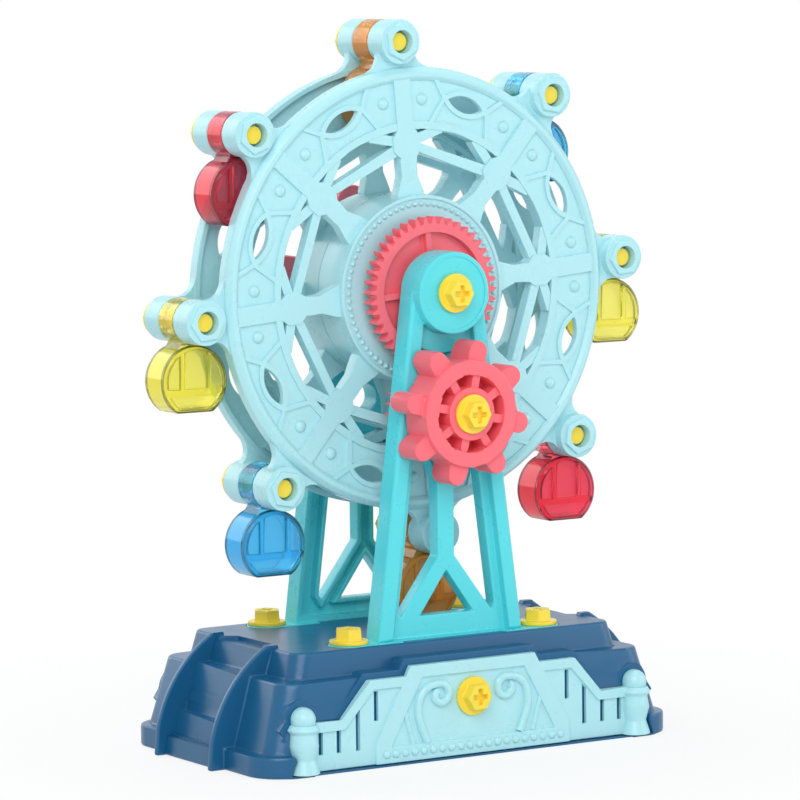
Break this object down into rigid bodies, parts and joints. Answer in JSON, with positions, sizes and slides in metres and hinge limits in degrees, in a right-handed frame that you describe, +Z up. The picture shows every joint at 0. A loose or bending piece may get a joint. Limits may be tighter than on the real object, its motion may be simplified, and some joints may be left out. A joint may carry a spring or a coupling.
{
  "type": "hand-cranked toy ferris wheel",
  "caption": "Toy ferris wheel turned by a geared crank knob, with hanging cabins on a lattice wheel between two towers on a stepped base.",
  "frame": {"origin": "centre of the whole toy's footprint at the base's underside", "axes": "+Z up, -Y towards the crank knob, +X to the right as seen from the crank side"},
  "size_m": [0.2282, 0.12, 0.2937],
  "materials": {
    "base_blue": "moulded gloss",
    "tower_teal": "moulded gloss",
    "pale_aqua": "moulded gloss",
    "coral": "moulded gloss",
    "bolt_yellow": "moulded gloss",
    "axle_grey": "moulded satin",
    "cabin_orange": "translucent gloss",
    "cabin_blue": "translucent gloss",
    "cabin_yellow": "translucent gloss",
    "cabin_red": "translucent gloss"
  },
  "bodies": {
    "base": {"base_shell": "base_blue", "front_tower": "tower_teal", "rear_tower": "tower_teal", "front_fence": "pale_aqua", "rear_fence": "pale_aqua", "foot_bolts": "bolt_yellow", "fence_bolts": "bolt_yellow"},
    "wheel": {"front_wheel": "pale_aqua", "rear_wheel": "pale_aqua", "axle": "axle_grey", "drive_gear": "coral", "cabin_bolts": "bolt_yellow", "front_axle_bolt": "bolt_yellow", "rear_axle_bolt": "bolt_yellow", "rear_hand_wheel": "coral"},
    "crank": {"crank_knob": "coral", "crank_shaft": "coral", "knob_bolt": "bolt_yellow"},
    "cabin_1": {"cabin_1_body": "cabin_orange", "cabin_1_cover": "cabin_orange"},
    "cabin_2": {"cabin_2_body": "cabin_blue", "cabin_2_cover": "cabin_blue"},
    "cabin_3": {"cabin_3_body": "cabin_yellow", "cabin_3_cover": "cabin_yellow"},
    "cabin_4": {"cabin_4_body": "cabin_red", "cabin_4_cover": "cabin_red"},
    "cabin_5": {"cabin_5_body": "cabin_orange", "cabin_5_cover": "cabin_orange"},
    "cabin_6": {"cabin_6_body": "cabin_blue", "cabin_6_cover": "cabin_blue"},
    "cabin_7": {"cabin_7_body": "cabin_yellow", "cabin_7_cover": "cabin_yellow"},
    "cabin_8": {"cabin_8_body": "cabin_red", "cabin_8_cover": "cabin_red"}
  },
  "joints": [
    {"name": "wheel_spin", "type": "hinge", "parent": "base", "child": "wheel", "pos_m": [0, 0, 0.1851], "axis": [0, 1, 0], "continuous": true},
    {"name": "crank_spin", "type": "hinge", "parent": "base", "child": "crank", "pos_m": [0, 0, 0.13765], "axis": [0, 1, 0], "continuous": true},
    {"name": "cabin_1_swing", "type": "hinge", "parent": "wheel", "child": "cabin_1", "pos_m": [-0.00837, 0, 0.28475], "axis": [0, 1, 0], "continuous": true},
    {"name": "cabin_2_swing", "type": "hinge", "parent": "wheel", "child": "cabin_2", "pos_m": [0.06455, 0, 0.26148], "axis": [0, 1, 0], "continuous": true},
    {"name": "cabin_3_swing", "type": "hinge", "parent": "wheel", "child": "cabin_3", "pos_m": [0.09965, 0, 0.19347], "axis": [0, 1, 0], "continuous": true},
    {"name": "cabin_4_swing", "type": "hinge", "parent": "wheel", "child": "cabin_4", "pos_m": [0.07638, 0, 0.12055], "axis": [0, 1, 0], "continuous": true},
    {"name": "cabin_5_swing", "type": "hinge", "parent": "wheel", "child": "cabin_5", "pos_m": [0.00837, 0, 0.08545], "axis": [0, 1, 0], "continuous": true},
    {"name": "cabin_6_swing", "type": "hinge", "parent": "wheel", "child": "cabin_6", "pos_m": [-0.06455, 0, 0.10872], "axis": [0, 1, 0], "continuous": true},
    {"name": "cabin_7_swing", "type": "hinge", "parent": "wheel", "child": "cabin_7", "pos_m": [-0.09965, 0, 0.17673], "axis": [0, 1, 0], "continuous": true},
    {"name": "cabin_8_swing", "type": "hinge", "parent": "wheel", "child": "cabin_8", "pos_m": [-0.07638, 0, 0.24965], "axis": [0, 1, 0], "continuous": true}
  ],
  "couplings": [
    {"joint": "crank_spin", "follows": "wheel_spin", "ratio": -1.5172}
  ]
}
